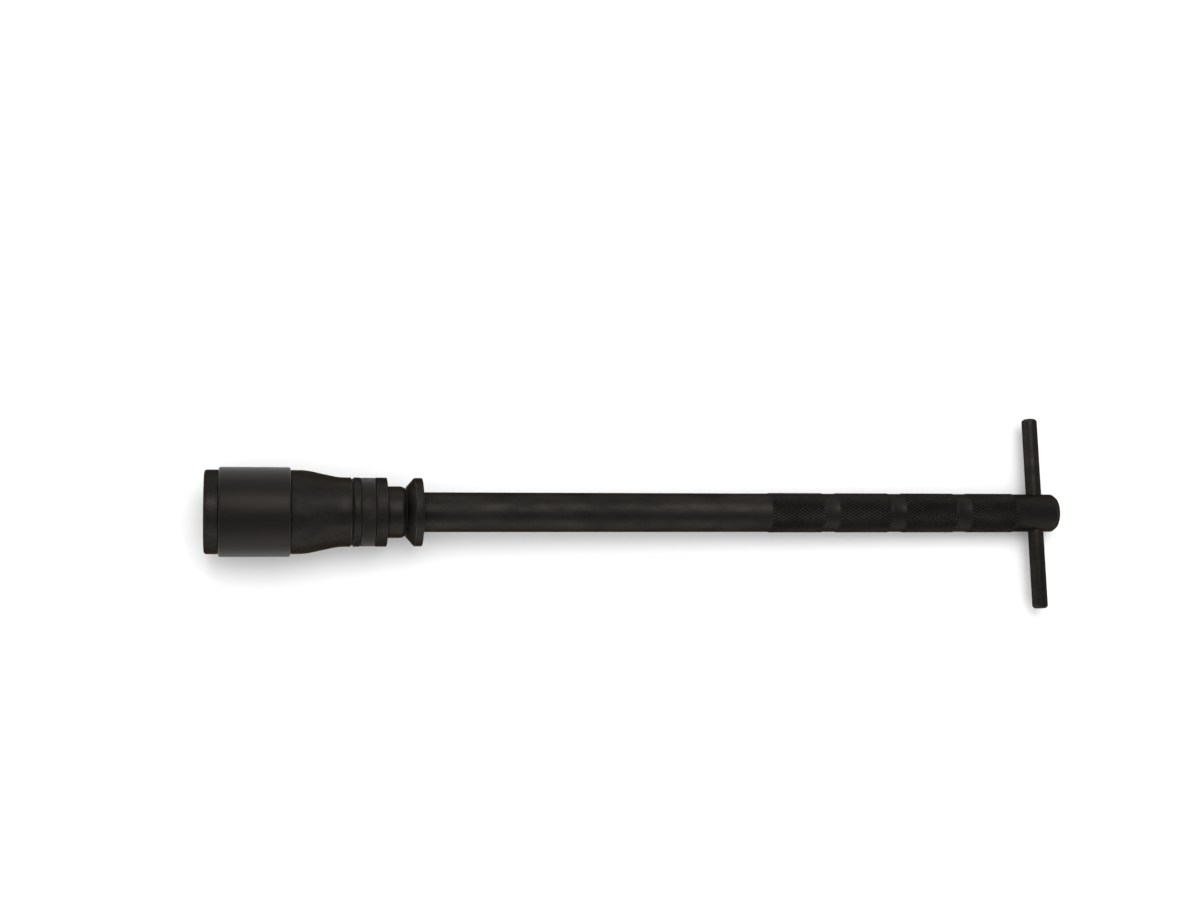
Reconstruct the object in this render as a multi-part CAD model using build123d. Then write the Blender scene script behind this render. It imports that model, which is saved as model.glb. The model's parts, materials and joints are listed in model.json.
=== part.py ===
from build123d import *

import math
import os

# A half-inch drive breaker bar: a long bar with a knurled grip, a T-bar that slides through its end,
# a pull-back collar that works a ball lock in the square drive, and a deep hexagon socket on the drive.
# Millimetres. The bar's axis runs along X, with the socket's mouth at the low end, and lies at the height
# that sets the socket's sleeve on the ground, z = 0. Stations along the axis are x values, in the row frame.
# Outlines are (station, radius) points.

# Overall sizes
total_length = 390.0
shank_diameter = 17.5
socket_length = 78.0
t_bar_length = 89.0
t_bar_diameter = 7.1

# Clearances
running_gap = 0.05  # radial, between a piece and the bore or shaft it slides or turns on
side_gap = 0.1  # between a piece and the end of the recess it lies in
touch_gap = 0.03  # between pieces that bear on each other
collar_front_gap = 0.25  # between the socket's back face and the collar

# Socket
socket_diameter = 36.4
socket_back_diameter = 30.2
mouth_rounding = 1.2
back_chamfer = 0.4
hexagon_size = 24.0  # across flats
hexagon_depth = 30.0
mouth_lead_in = 1.0
stud_bore_diameter = 21.0
stud_bore_end = 55.0  # from the mouth
web_hole_diameter = 9.0
sleeve_start = 6.0  # from the mouth
sleeve_length = 30.7
sleeve_diameter = 38.8
sleeve_wall = 2.0
sleeve_rounding = 0.8
body_end = 43.0  # from the mouth, where the taper begins
taper_length = 14.2
line_groove_from_back = 14.9  # centre of the turned line next to the taper
line_groove_width = 1.2
line_groove_depth = 0.6
ring_groove_from_back = 4.9
ring_groove_width = 6.7
ring_groove_depth = 1.9
ring_below_surface = 0.12
ring_side_gap = 0.2
ring_rounding = 0.35

# Square drive, its ball lock and the socket's square hole
drive_size = 12.65  # across flats
drive_corner_loss = 1.49  # how much each rounded corner is short of a sharp one, along the diagonal
drive_length = 15.6
drive_chamfer = 1.0
drive_hole_play = 0.25  # how much larger the socket's square hole is than the drive, across flats
drive_hole_depth = 17.0
ball_from_shoulder = 8.0
ball_radius = 2.5
ball_height = 1.0  # how far the ball stands out of the drive's flat
ball_lip_radius = 2.2
ball_lip_thickness = 0.2
socket_ball_hole_diameter = 5.5
ramp_slope = 0.4  # the ball's drop for each millimetre that the rod is drawn back

# Collar and what works inside it
collar_travel = 3.0
guide_diameter = 16.6  # the bar under the collar
neck_diameter = 22.6
neck_length = 7.6
neck_rounding = 1.2
collar_groove_diameter = 20.8
collar_groove_width = 0.7
cone_start_diameter = 22.0
cone_length = 3.3
rim_diameter = 30.0
rim_length = 3.6
rim_chamfer = 0.4
chamber_diameter = 19.2
collar_wall = 2.1  # the collar's front wall, which slides on the bar
clip_lip = 0.7  # the bar's land in front of the front clip
clip_thickness = 1.0
clip_groove_depth = 0.5
clip_opening = 50.0  # degrees
front_clip_diameter = 18.4
front_clip_recess_diameter = 19.0
cross_pin_diameter = 3.0
cross_pin_length = 18.8
washer_thickness = 0.7
washer_diameter = 18.8
spring_wire = 0.6
spring_turns = 3
spring_length = 5.7
rod_diameter = 6.0
rod_tip_radius = 1.1
rod_tip_length = 2.0
rod_past_pin = 2.8
shoulder_gap = 0.3  # between the collar's rear face and the full shank
shoulder_chamfer = 0.3

# Grip
band_count = 4
band_length = 25.4
last_band_length = 22.86
band_pitch = 31.75
band_rise = 0.3  # how far the knurled bands stand above the shank
band_chamfer = 0.5
grip_to_t_bar = 11.54  # from the last band to the T-bar's axis
t_bar_from_end = 9.5
end_chamfer_length = 1.8
end_chamfer_depth = 1.3
t_bar_chamfer = 0.9

# Friction device for the T-bar, in the bar's end
friction_ball_radius = 1.0
friction_spring_wire = 0.25
friction_spring_turns = 3
friction_spring_length = 1.4
friction_spring_radius = 0.7
friction_bore_diameter = 2.1
end_screw_diameter = 4.0
end_screw_below_face = 0.2
end_screw_hexagon = 2.0
end_screw_hexagon_depth = 1.2

# Radii and stations that follow from the sizes above
axis_height = sleeve_diameter / 2
shank_radius = shank_diameter / 2
guide_radius = guide_diameter / 2
chamber_radius = chamber_diameter / 2
clip_groove_radius = guide_radius - clip_groove_depth

mouth = -total_length / 2
socket_back = mouth + socket_length
drive_tip = socket_back - drive_length
ball_station = socket_back - ball_from_shoulder
ring_groove_end = socket_back - ring_groove_from_back
ring_groove_start = ring_groove_end - ring_groove_width

collar_front = socket_back + collar_front_gap
front_clip_start = socket_back + clip_lip
front_clip_end = front_clip_start + clip_thickness
wall_front = front_clip_end + side_gap
wall_back = wall_front + collar_wall
neck_end = collar_front + neck_length
cone_start = neck_end + collar_groove_width
rim_start = cone_start + cone_length
collar_back = rim_start + rim_length
cross_pin_station = wall_back + touch_gap + cross_pin_diameter / 2
washer_front = cross_pin_station + cross_pin_diameter / 2 + touch_gap
washer_back = washer_front + washer_thickness
spring_front = washer_back + touch_gap
spring_back = spring_front + spring_length
rear_clip_start = spring_back + touch_gap
rear_clip_end = rear_clip_start + clip_thickness
shoulder = collar_back + shoulder_gap

bar_end = total_length / 2
t_bar_station = bar_end - t_bar_from_end
grip_end = t_bar_station - grip_to_t_bar
band_starts = [grip_end - last_band_length - i * band_pitch for i in reversed(range(band_count))]
band_radius = shank_radius + band_rise
t_bore_radius = t_bar_diameter / 2 + running_gap
friction_ball_station = t_bar_station + t_bar_diameter / 2 + touch_gap + friction_ball_radius
friction_spring_start = friction_ball_station + friction_ball_radius + touch_gap
friction_spring_end = friction_spring_start + friction_spring_length
end_screw_start = friction_spring_end + touch_gap
end_screw_end = bar_end - end_screw_below_face


def turned(outline, rounded=(), arc=360):
    """Solid turned about the bar's axis. rounded holds (corner, radius) pairs for the outline's corners."""
    profile = make_face(Polyline(outline, close=True))
    for corner, radius in rounded:
        profile = fillet(profile.vertices().sort_by_distance((*corner, 0))[0], radius)
    return revolve(profile, Axis.X, revolution_arc=arc)


def prism(sketch, start, end):
    """Extrusion along the bar's axis of a sketch drawn square to it."""
    return extrude(Plane.YZ.offset(start) * sketch, end - start)


def rod(radius, start, end):
    """Plain cylinder on the bar's axis."""
    return prism(Circle(radius), start, end)


def across(radius, length, station):
    """Cylinder square to the bar's axis, along Y."""
    return Pos(station, 0, 0) * Rot(90, 0, 0) * Cylinder(radius, length)


def upright(radius, low, high, station):
    """Cylinder square to the bar's axis, along Z, between two heights above the axis."""
    return Pos(station, 0, (low + high) / 2) * Cylinder(radius, high - low)


def hexagon(size):
    """Hexagon of that size across its flats, with two flats level."""
    return RegularPolygon(size / 2, 6, major_radius=False, rotation=90)


def coil(wire, turns, radius, start, end):
    """Open coil spring on the bar's axis, between two stations."""
    height = end - start - wire
    path = Helix(height / turns, height, radius, center=(start + wire / 2, 0, 0), direction=(1, 0, 0))
    section = Plane(path @ 0, z_dir=path % 0) * Circle(wire / 2)
    return sweep(section, path, is_frenet=True)


def snap_ring(start, outer_radius):
    """Open ring that springs into a groove of the bar, with its opening underneath."""
    inner_radius = clip_groove_radius + running_gap
    outline = [
        (start, inner_radius),
        (start, outer_radius),
        (start + clip_thickness, outer_radius),
        (start + clip_thickness, inner_radius),
    ]
    ring = turned(outline, arc=360 - clip_opening)
    return Rot(X=clip_opening / 2 - 90) * ring


def clip_groove(start):
    """Outline points of the groove that a snap ring sits in."""
    low = start - side_gap / 2
    high = start + clip_thickness + side_gap / 2
    return [(low, guide_radius), (low, clip_groove_radius), (high, clip_groove_radius), (high, guide_radius)]


def knurled_band(start, end):
    """Outline points of one band of the grip, to the tips of its knurl."""
    return [
        (start, shank_radius),
        (start + band_chamfer, band_radius),
        (end - band_chamfer, band_radius),
        (end, shank_radius),
    ]


def square_drive():
    """Square end with rounded corners and a chamfered tip."""
    square = prism(Rectangle(drive_size, drive_size), drive_tip, socket_back)
    corner = drive_size / math.sqrt(2) - drive_corner_loss / 2
    envelope = turned(
        [
            (drive_tip, 0),
            (drive_tip, corner - drive_chamfer),
            (drive_tip + drive_chamfer, corner),
            (socket_back, corner),
            (socket_back, 0),
        ]
    )
    return square & envelope


def bar():
    outline = [(socket_back, 0), (socket_back, guide_radius)]
    outline += clip_groove(front_clip_start)
    outline += clip_groove(rear_clip_start)
    outline += [(shoulder, guide_radius), (shoulder, shank_radius - shoulder_chamfer)]
    outline += [(shoulder + shoulder_chamfer, shank_radius)]
    for start in band_starts:
        outline += knurled_band(start, min(start + band_length, grip_end))
    outline += [
        (bar_end - end_chamfer_length, shank_radius),
        (bar_end, shank_radius - end_chamfer_depth),
        (bar_end, 0),
    ]
    body = turned(outline) + square_drive()
    slot_radius = cross_pin_diameter / 2 + running_gap
    bore_end = cross_pin_station + rod_past_pin + collar_travel + side_gap
    body -= rod(rod_diameter / 2 + running_gap, drive_tip, bore_end)
    for station in (cross_pin_station, cross_pin_station + collar_travel):
        body -= across(slot_radius, guide_diameter + 1, station)
    slot = Box(collar_travel, guide_diameter + 1, 2 * slot_radius)
    body -= Pos(cross_pin_station + collar_travel / 2, 0, 0) * slot
    flat = drive_size / 2
    body -= upright(ball_radius + running_gap, 0, flat - ball_lip_thickness, ball_station)
    body -= upright(ball_lip_radius, 0, flat + 1, ball_station)
    body -= across(t_bore_radius, shank_diameter + 1, t_bar_station)
    body -= rod(friction_bore_diameter / 2, t_bar_station, end_screw_start)
    body -= rod(end_screw_diameter / 2 + running_gap, end_screw_start, bar_end)
    return body


def t_bar():
    body = across(t_bar_diameter / 2, t_bar_length, t_bar_station)
    ends = body.edges().filter_by(GeomType.CIRCLE)
    return chamfer(ends, t_bar_chamfer)


def friction_ball():
    return Pos(friction_ball_station, 0, 0) * Sphere(friction_ball_radius)


def friction_spring():
    return coil(
        friction_spring_wire,
        friction_spring_turns,
        friction_spring_radius,
        friction_spring_start,
        friction_spring_end,
    )


def end_screw():
    body = rod(end_screw_diameter / 2, end_screw_start, end_screw_end)
    return body - prism(hexagon(end_screw_hexagon), end_screw_end - end_screw_hexagon_depth, end_screw_end)


def collar():
    neck = neck_diameter / 2
    groove = collar_groove_diameter / 2
    rim = rim_diameter / 2
    bore = guide_radius + running_gap
    recess = front_clip_recess_diameter / 2
    return turned(
        [
            (collar_front, recess),
            (collar_front, neck),
            (neck_end, neck),
            (neck_end, groove),
            (cone_start, groove),
            (cone_start, cone_start_diameter / 2),
            (rim_start, rim - rim_chamfer),
            (rim_start + rim_chamfer, rim),
            (collar_back - rim_chamfer, rim),
            (collar_back, rim - rim_chamfer),
            (collar_back, chamber_radius),
            (wall_back, chamber_radius),
            (wall_back, bore),
            (wall_front, bore),
            (wall_front, recess),
        ],
        rounded=[((neck_end, neck), min(neck_rounding, neck - groove)), ((collar_front, neck), back_chamfer)],
    )


def release_rod():
    """Rod whose ramp lets the ball drop as it is drawn back, drilled for the cross pin."""
    radius = rod_diameter / 2
    ball_centre = drive_size / 2 + ball_height - ball_radius
    under_ball = ball_centre - ball_radius * math.hypot(1, ramp_slope) - touch_gap
    ramp_end = ball_station + (radius - under_ball) / ramp_slope
    ramp_start = ramp_end - (radius - rod_tip_radius) / ramp_slope
    back = cross_pin_station + rod_past_pin
    body = turned(
        [
            (ramp_start - rod_tip_length, 0),
            (ramp_start - rod_tip_length, rod_tip_radius),
            (ramp_start, rod_tip_radius),
            (ramp_end, radius),
            (back, radius),
            (back, 0),
        ]
    )
    return body - across(cross_pin_diameter / 2 + touch_gap, rod_diameter + 1, cross_pin_station)


def cross_pin():
    return across(cross_pin_diameter / 2, cross_pin_length, cross_pin_station)


def spring_washer():
    inner = Circle(guide_radius + side_gap)
    return prism(Circle(washer_diameter / 2) - inner, washer_front, washer_back)


def collar_spring():
    mean_radius = (guide_radius + chamber_radius) / 2
    return coil(spring_wire, spring_turns, mean_radius, spring_front, spring_back)


def front_clip():
    return snap_ring(front_clip_start, front_clip_diameter / 2)


def rear_clip():
    return snap_ring(rear_clip_start, chamber_radius - running_gap)


def locking_ball():
    return Pos(ball_station, 0, drive_size / 2 + ball_height - ball_radius) * Sphere(ball_radius)


def socket():
    front = socket_diameter / 2
    back = socket_back_diameter / 2
    sleeve_bore = sleeve_diameter / 2 - sleeve_wall
    taper_start = mouth + body_end
    line_centre = socket_back - line_groove_from_back
    line_half = line_groove_width / 2
    body = turned(
        [
            (mouth, 0),
            (mouth, front),
            (mouth + sleeve_start, front),
            (mouth + sleeve_start, sleeve_bore),
            (mouth + sleeve_start + sleeve_length, sleeve_bore),
            (mouth + sleeve_start + sleeve_length, front),
            (taper_start, front),
            (taper_start + taper_length, back),
            (line_centre - line_half, back),
            (line_centre - line_half / 2, back - line_groove_depth),
            (line_centre + line_half / 2, back - line_groove_depth),
            (line_centre + line_half, back),
            (ring_groove_start, back),
            (ring_groove_start, back - ring_groove_depth),
            (ring_groove_end, back - ring_groove_depth),
            (ring_groove_end, back),
            (socket_back - back_chamfer, back),
            (socket_back, back - back_chamfer),
            (socket_back, 0),
        ],
        rounded=[((mouth, front), mouth_rounding)],
    )
    body -= prism(hexagon(hexagon_size), mouth, mouth + hexagon_depth)
    corner = hexagon_size / math.sqrt(3)
    body -= turned(
        [
            (mouth, 0),
            (mouth, corner + mouth_lead_in / 2),
            (mouth + mouth_lead_in + corner - hexagon_size / 2, hexagon_size / 2 - mouth_lead_in / 2),
            (mouth + mouth_lead_in + corner - hexagon_size / 2, 0),
        ]
    )
    body -= rod(stud_bore_diameter / 2, mouth, mouth + stud_bore_end)
    body -= rod(web_hole_diameter / 2, mouth, socket_back)
    hole_size = drive_size + drive_hole_play
    body -= prism(Rectangle(hole_size, hole_size), socket_back - drive_hole_depth, socket_back)
    body -= upright(socket_ball_hole_diameter / 2, -back, back, ball_station)
    return body


def protective_sleeve():
    outer = sleeve_diameter / 2
    inner = outer - sleeve_wall + running_gap
    start = mouth + sleeve_start + side_gap
    end = mouth + sleeve_start + sleeve_length - side_gap
    return turned(
        [(start, inner), (start, outer), (end, outer), (end, inner)],
        rounded=[((start, outer), sleeve_rounding), ((end, outer), sleeve_rounding)],
    )


def rubber_ring():
    outer = socket_back_diameter / 2 - ring_below_surface
    inner = socket_back_diameter / 2 - ring_groove_depth + running_gap
    start = ring_groove_start + ring_side_gap
    end = ring_groove_end - ring_side_gap
    return turned(
        [(start, inner), (start, outer), (end, outer), (end, inner)],
        rounded=[((start, outer), ring_rounding), ((end, outer), ring_rounding)],
    )


pieces = [
    bar,
    t_bar,
    friction_ball,
    friction_spring,
    end_screw,
    collar,
    release_rod,
    cross_pin,
    spring_washer,
    collar_spring,
    front_clip,
    rear_clip,
    locking_ball,
    socket,
    protective_sleeve,
    rubber_ring,
]

os.makedirs("parts", exist_ok=True)
for piece in pieces:
    export_step(Pos(0, 0, axis_height) * piece(), f"parts/{piece.__name__}.step")
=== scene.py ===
import json
import math

import bpy
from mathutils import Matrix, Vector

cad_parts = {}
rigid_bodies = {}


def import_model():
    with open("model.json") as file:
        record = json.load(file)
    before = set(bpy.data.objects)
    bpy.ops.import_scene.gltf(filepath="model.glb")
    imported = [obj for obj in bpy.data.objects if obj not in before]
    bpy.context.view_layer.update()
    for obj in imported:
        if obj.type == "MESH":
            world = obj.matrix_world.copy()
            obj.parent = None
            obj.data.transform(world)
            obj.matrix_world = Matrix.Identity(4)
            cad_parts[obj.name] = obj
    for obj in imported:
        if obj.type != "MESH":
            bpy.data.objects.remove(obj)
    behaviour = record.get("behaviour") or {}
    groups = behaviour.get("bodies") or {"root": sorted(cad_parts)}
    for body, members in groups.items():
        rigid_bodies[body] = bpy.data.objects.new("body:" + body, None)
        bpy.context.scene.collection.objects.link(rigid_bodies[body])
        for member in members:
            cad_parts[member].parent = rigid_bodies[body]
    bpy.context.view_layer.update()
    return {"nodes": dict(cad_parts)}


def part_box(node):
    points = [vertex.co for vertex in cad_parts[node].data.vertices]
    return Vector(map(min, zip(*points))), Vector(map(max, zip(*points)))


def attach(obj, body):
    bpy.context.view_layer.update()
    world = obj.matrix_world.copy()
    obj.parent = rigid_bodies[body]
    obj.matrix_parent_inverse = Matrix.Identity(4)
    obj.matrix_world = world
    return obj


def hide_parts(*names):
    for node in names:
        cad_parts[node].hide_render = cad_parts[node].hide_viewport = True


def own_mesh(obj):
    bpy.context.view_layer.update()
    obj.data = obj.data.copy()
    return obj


bl_info = {
    "name": "Breaker bar",
    "version": (1, 0, 0),
    "blender": (4, 5, 0),
    "location": "3D View > Sidebar > Breaker bar",
    "description": "Models a breaker bar with a knurled grip, sliding T-bar, collar and deep socket",
    "category": "Mesh",
}

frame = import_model()

# Metres. The tool's axis is level and runs along X, from the socket's mouth to the end with the T-bar.
# Outlines are (station, radius) points: a station is an x value, and a radius is counted from that axis.
mm = 0.001


def box_centre(node, axis):
    low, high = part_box(node)
    return (low[axis] + high[axis]) / 2


axis_height = box_centre("socket", 2)
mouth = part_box("socket")[0][0]
socket_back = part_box("socket")[1][0]
bar_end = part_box("bar")[1][0]
t_bar_station = box_centre("t_bar", 0)

turned_sides = 128  # sides of the large turned pieces
thin_sides = 64  # sides of the T-bar and of the cross bores
merge_distance = 0.001 * mm
cut_clearance = 1 * mm  # how far a cutter stands out of the face that it cuts


def length_prop(name, description, default):
    """Property for a length in metres."""
    return bpy.props.FloatProperty(name=name, description=description, default=default, unit="LENGTH")


def colour_prop(name, description, default):
    """Property for a colour."""
    return bpy.props.FloatVectorProperty(
        name=name, description=description, default=default, subtype="COLOR"
    )


class BarSizes(bpy.types.PropertyGroup):
    shank: length_prop("Shank", "Diameter of the plain shank", 17.5 * mm)
    guide: length_prop("Guide", "Diameter of the bar under the collar", 16.6 * mm)
    shoulder_gap: length_prop("Shoulder gap", "Between the collar and the full shank", 0.3 * mm)
    shoulder_chamfer: length_prop("Shoulder chamfer", "Chamfer at the front of the shank", 0.3 * mm)
    seam: length_prop("Seam", "From the shank's shoulder to the seam with the drive end", 0.1 * mm)
    bands: bpy.props.IntProperty(name="Bands", description="Knurled bands in the grip", default=4, min=1)
    band_length: length_prop("Band length", "Length of one knurled band", 25.4 * mm)
    band_pitch: length_prop("Band pitch", "Distance from one band to the next", 31.75 * mm)
    grip_to_t_bar: length_prop("Grip to T-bar", "From the last band to the T-bar's axis", 11.54 * mm)
    last_band_shorter: bpy.props.IntProperty(
        name="Last band shorter", description="Diamonds missing from the last band", default=1, min=0
    )
    diamonds_round: bpy.props.IntProperty(
        name="Diamonds round", description="Knurl diamonds around the bar", default=36, min=8
    )
    diamonds_along: bpy.props.IntProperty(
        name="Diamonds along", description="Knurl diamonds along one band", default=10, min=2
    )
    knurl_crest: length_prop("Knurl crest", "Diameter over the knurl's tips", 18.14 * mm)
    knurl_depth: length_prop("Knurl depth", "Depth of the knurl's grooves", 0.42 * mm)
    tip_flat: length_prop("Tip flat", "How far each diamond's tip is cut back", 0.16 * mm)
    run_out: length_prop("Run-out", "Slope at each end of a knurled band", 0.3 * mm)
    end_chamfer: length_prop("End chamfer", "Length of the chamfer at the bar's end", 1.8 * mm)
    end_chamfer_depth: length_prop("End chamfer depth", "How deep that chamfer cuts", 1.3 * mm)
    t_bore: length_prop("T-bar bore", "Diameter of the T-bar's cross bore", 7.2 * mm)
    t_bar: length_prop("T-bar", "Diameter of the T-bar", 7.1 * mm)
    t_bar_length: length_prop("T-bar length", "Length of the T-bar", 89 * mm)
    t_bar_chamfer: length_prop("T-bar chamfer", "Chamfer at the T-bar's ends", 0.9 * mm)
    end_bore: length_prop("End bore", "Diameter of the end screw's bore", 4.1 * mm)
    end_bore_chamfer: length_prop("End bore chamfer", "Chamfer at that bore's mouth", 0.4 * mm)
    friction_bore: length_prop("Friction bore", "Diameter of the friction spring's bore", 2.1 * mm)
    edge: length_prop("Edge", "Width of the broken edges", 0.2 * mm)


class SocketSizes(bpy.types.PropertyGroup):
    body: length_prop("Body", "Diameter of the socket's front body", 36.4 * mm)
    body_length: length_prop("Body length", "Length of the front body", 43 * mm)
    taper_length: length_prop("Taper length", "Length of the taper behind the body", 14.2 * mm)
    back: length_prop("Back", "Diameter of the socket's back end", 30.2 * mm)
    recess: length_prop("Recess", "Diameter of the body under the sleeve", 34.8 * mm)
    recess_start: length_prop("Recess start", "From the mouth to the recess", 6 * mm)
    recess_length: length_prop("Recess length", "Length of the sleeve's recess", 30.7 * mm)
    line: length_prop("Line", "From the mouth to the turned line", 62.5 * mm)
    line_width: length_prop("Line width", "Width of the turned line", 1.1 * mm)
    line_depth: length_prop("Line depth", "Depth of the turned line", 0.6 * mm)
    line_slope: length_prop("Line slope", "Slope of the line's front side", 0.2 * mm)
    ring_groove: length_prop("Ring groove", "From the mouth to the rubber ring's groove", 66.4 * mm)
    ring_groove_width: length_prop("Ring groove width", "Width of that groove", 6.7 * mm)
    ring_groove_depth: length_prop("Ring groove depth", "Depth of that groove", 1.9 * mm)
    hexagon: length_prop("Hexagon", "Size across the hexagon's flats", 24 * mm)
    hexagon_depth: length_prop("Hexagon depth", "Depth of the hexagon", 30 * mm)
    hexagon_easing: length_prop("Hexagon easing", "Rounding of the hexagon's corners", 0.5 * mm)
    lead_in: length_prop("Lead-in", "How far the mouth's cone passes the hexagon's corners", 0.5 * mm)
    stud_bore: length_prop("Stud bore", "Diameter of the bore behind the hexagon", 21 * mm)
    web: length_prop("Web", "From the mouth to the stud bore's end", 55 * mm)
    web_hole: length_prop("Web hole", "Diameter of the hole through the web", 9 * mm)
    drive_hole: length_prop("Drive hole", "Size across the square hole's flats", 12.9 * mm)
    drive_hole_start: length_prop("Drive hole start", "From the mouth to the square hole", 61 * mm)
    ball_hole: length_prop("Ball hole", "Diameter of the locking ball's hole", 5.5 * mm)
    mouth_rounding: length_prop("Mouth rounding", "Size of the rounding at the mouth", 1.2 * mm)
    taper_rounding: length_prop("Taper rounding", "Size of the rounding at the taper's ends", 2.5 * mm)
    sleeve_wall: length_prop("Sleeve wall", "Thickness of the sleeve", 1.95 * mm)
    sleeve_rounding: length_prop("Sleeve rounding", "Rounding of the sleeve's edges", 0.9 * mm)
    ring_wall: length_prop("Ring wall", "Thickness of the rubber ring", 1.7 * mm)
    ring_rounding: length_prop("Ring rounding", "Rounding of the ring's edges", 0.2 * mm)
    edge: length_prop("Edge", "Width of the broken edges", 0.25 * mm)


class CollarSizes(bpy.types.PropertyGroup):
    neck: length_prop("Neck", "Diameter of the collar's neck", 22.6 * mm)
    neck_length: length_prop("Neck length", "Length of the neck", 7.6 * mm)
    neck_rounding: length_prop("Neck rounding", "How far the neck's end drops to the groove", 0.7 * mm)
    groove: length_prop("Groove", "Diameter at the bottom of the groove", 20.8 * mm)
    groove_width: length_prop("Groove width", "Width of the groove", 0.7 * mm)
    cone: length_prop("Cone", "Diameter at the cone's small end", 22 * mm)
    cone_length: length_prop("Cone length", "Length of the cone", 3.3 * mm)
    rim: length_prop("Rim", "Diameter of the collar's rim", 30 * mm)
    rim_chamfer: length_prop("Rim chamfer", "Chamfer at the front of the rim", 0.2 * mm)
    front_bore: length_prop("Front bore", "Diameter of the bore over the front clip", 19 * mm)
    front_rounding: length_prop("Front rounding", "Rounding of the neck's front edge", 0.4 * mm)
    wall: length_prop("Wall", "From the front to the wall inside", 1.55 * mm)
    wall_thickness: length_prop("Wall thickness", "Thickness of that wall", 2.1 * mm)
    wall_bore: length_prop("Wall bore", "Diameter of the wall's bore", 16.7 * mm)
    rear_bore: length_prop("Rear bore", "Diameter of the bore over the spring", 19.2 * mm)
    edge: length_prop("Edge", "Width of the broken edges", 0.2 * mm)
    spring_wire: length_prop("Spring wire", "Diameter of the collar spring's wire", 0.6 * mm)
    spring_turns: bpy.props.IntProperty(
        name="Spring turns", description="Turns of the collar spring", default=3, min=1
    )
    travel: length_prop("Travel", "How far the collar is drawn back", 3 * mm)


class Finishes(bpy.types.PropertyGroup):
    oxide_dark: colour_prop("Oxide, dark", "Darker shade of the black oxide", (0.017, 0.0157, 0.0142))
    oxide_light: colour_prop("Oxide, light", "Lighter shade of the black oxide", (0.036, 0.033, 0.0298))
    bare_steel: colour_prop("Bare steel", "Steel where the oxide has rubbed off", (0.11, 0.105, 0.098))
    plastic: colour_prop("Plastic", "Colour of the protective sleeve", (0.004, 0.0036, 0.0033))
    rubber: colour_prop("Rubber", "Colour of the rubber ring", (0.004, 0.0037, 0.0034))
    bright_steel: colour_prop("Bright steel", "Colour of the ground inner parts", (0.55, 0.55, 0.56))
    spring_steel: colour_prop("Spring steel", "Colour of the springs", (0.33, 0.32, 0.31))
    clip_steel: colour_prop("Clip steel", "Colour of the phosphated clips", (0.08, 0.08, 0.085))


class StageLook(bpy.types.PropertyGroup):
    floor: colour_prop("Floor", "Colour of the floor", (0.88, 0.88, 0.88))
    floor_size: length_prop("Floor size", "Length of the floor's sides", 8)
    key_power: bpy.props.FloatProperty(
        name="Key light", description="Power of the light above and behind", default=8, unit="POWER"
    )
    fill_power: bpy.props.FloatProperty(
        name="Fill light", description="Power of the low light in front", default=1.6, unit="POWER"
    )
    wash: bpy.props.FloatProperty(
        name="Wash light", description="Strength of the even light that whitens the floor", default=1.7
    )
    wash_spread: bpy.props.FloatProperty(
        name="Wash spread", description="Angle of the wash", default=math.radians(80), subtype="ANGLE"
    )
    sky: bpy.props.FloatProperty(
        name="Sky", description="Strength of the light from straight above", default=0.3
    )
    horizon: bpy.props.FloatProperty(
        name="Horizon", description="Strength of the light from low down all round", default=1.3
    )
    lens: bpy.props.FloatProperty(
        name="Lens", description="Focal length of the camera", default=54.9, unit="CAMERA"
    )


# Shaping


def select_only(piece):
    bpy.ops.object.select_all(action="DESELECT")
    piece.select_set(True)
    bpy.context.view_layer.objects.active = piece


def lathe(name, outline, sides=turned_sides, ring=False):
    """Piece turned about the X axis, drawn out from a circle through the outline's points.

    A ring is closed on its own first point, and any other piece by a face at each end.
    """
    bpy.ops.object.select_all(action="DESELECT")
    station, radius = outline[0]
    bpy.ops.mesh.primitive_circle_add(
        vertices=sides, radius=radius, location=(station, 0, 0), rotation=(0, math.pi / 2, 0)
    )
    piece = bpy.context.object
    piece.name = name
    piece.data.name = name
    bpy.ops.object.transform_apply(location=True, rotation=True, scale=True)
    bpy.ops.object.mode_set(mode="EDIT")
    bpy.ops.mesh.select_mode(type="EDGE")
    bpy.ops.mesh.select_all(action="SELECT")
    points = outline + outline[:1] if ring else outline
    for before, after in zip(points, points[1:]):
        bpy.ops.mesh.extrude_region_move(TRANSFORM_OT_translate={"value": (after[0] - before[0], 0, 0)})
        growth = after[1] / before[1]
        bpy.ops.transform.resize(value=(1, growth, growth), center_override=(after[0], 0, 0))
    bpy.ops.mesh.select_all(action="SELECT")
    bpy.ops.mesh.remove_doubles(threshold=merge_distance)
    if not ring:
        bpy.ops.mesh.fill_holes(sides=0)
    bpy.ops.mesh.normals_make_consistent(inside=False)
    bpy.ops.mesh.select_all(action="DESELECT")
    return piece


def break_edges(width, segments=2, sharpness=25):
    """Rounds the sharp edges of the piece in edit mode, and gives them its second material."""
    bpy.ops.mesh.select_all(action="DESELECT")
    bpy.ops.mesh.edges_select_sharp(sharpness=math.radians(sharpness))
    bpy.ops.mesh.bevel(offset=width, segments=segments, affect="EDGES", material=1)
    bpy.ops.mesh.select_all(action="DESELECT")


def select_vertices(piece, wanted):
    """Selects the vertices whose place passes the test, in edit mode."""
    bpy.ops.mesh.select_mode(type="VERT")
    bpy.ops.mesh.select_all(action="DESELECT")
    bpy.ops.object.mode_set(mode="OBJECT")
    for vertex in piece.data.vertices:
        vertex.select = wanted(vertex.co)
    bpy.ops.object.mode_set(mode="EDIT")


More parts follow.
